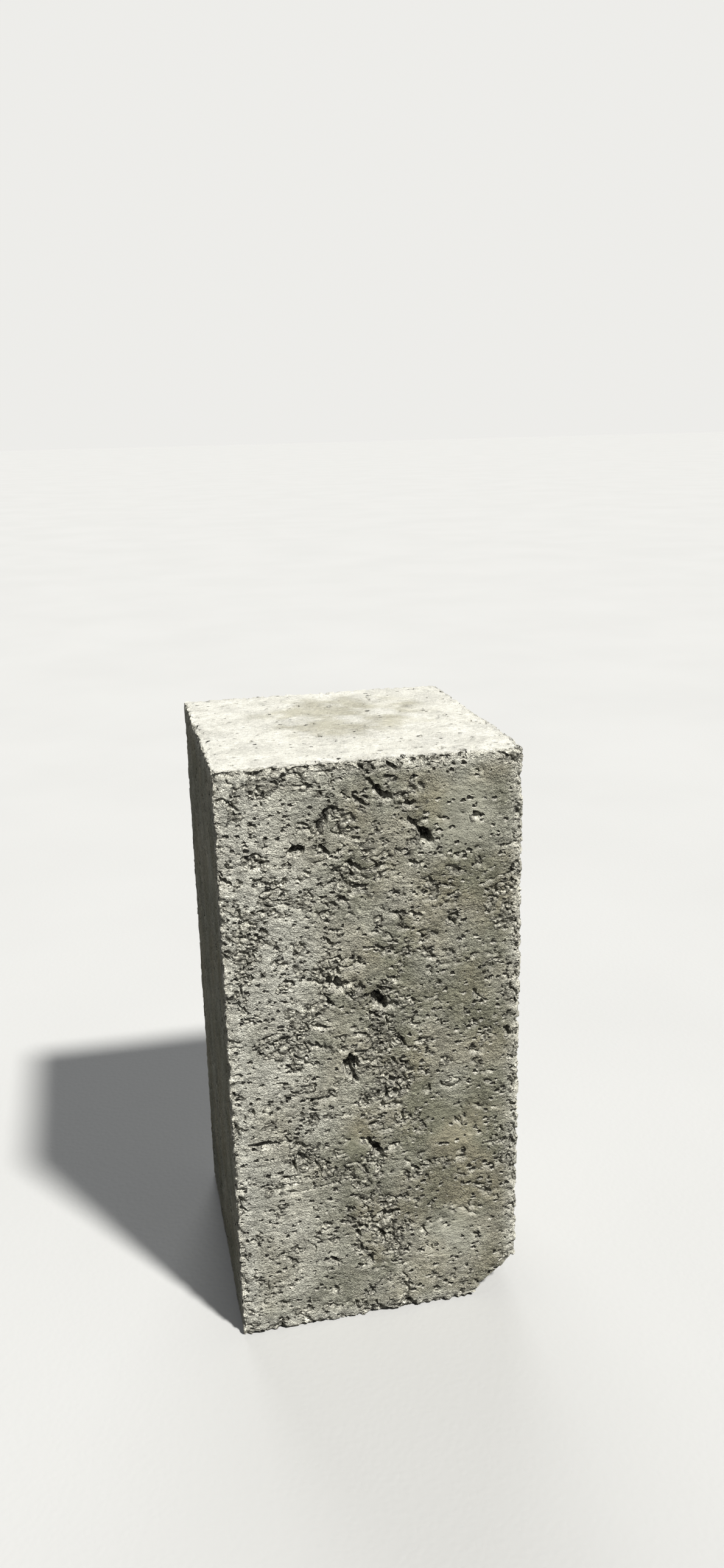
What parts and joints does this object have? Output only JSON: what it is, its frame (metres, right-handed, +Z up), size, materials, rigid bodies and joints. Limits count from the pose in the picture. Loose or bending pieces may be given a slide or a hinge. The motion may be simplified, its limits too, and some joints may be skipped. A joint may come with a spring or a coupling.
{
  "type": "concrete block",
  "caption": "Solid dense concrete masonry block stood on its end, with worn arrises, a broken lower corner and a pitted mould face.",
  "frame": {"origin": "middle of the end that the block stands on, at floor level", "axes": "+Z up along the block's length; -Y the pitted mould face in the picture; -X the bed that lay on the pallet; +X the pressed bed"},
  "size_m": [0.19, 0.19, 0.39],
  "materials": {
    "concrete": "dry-cast dense concrete, matt, grey-beige, pitted and torn on the mould faces"
  },
  "bodies": {
    "root": {"concrete_block": "concrete"}
  },
  "joints": []
}
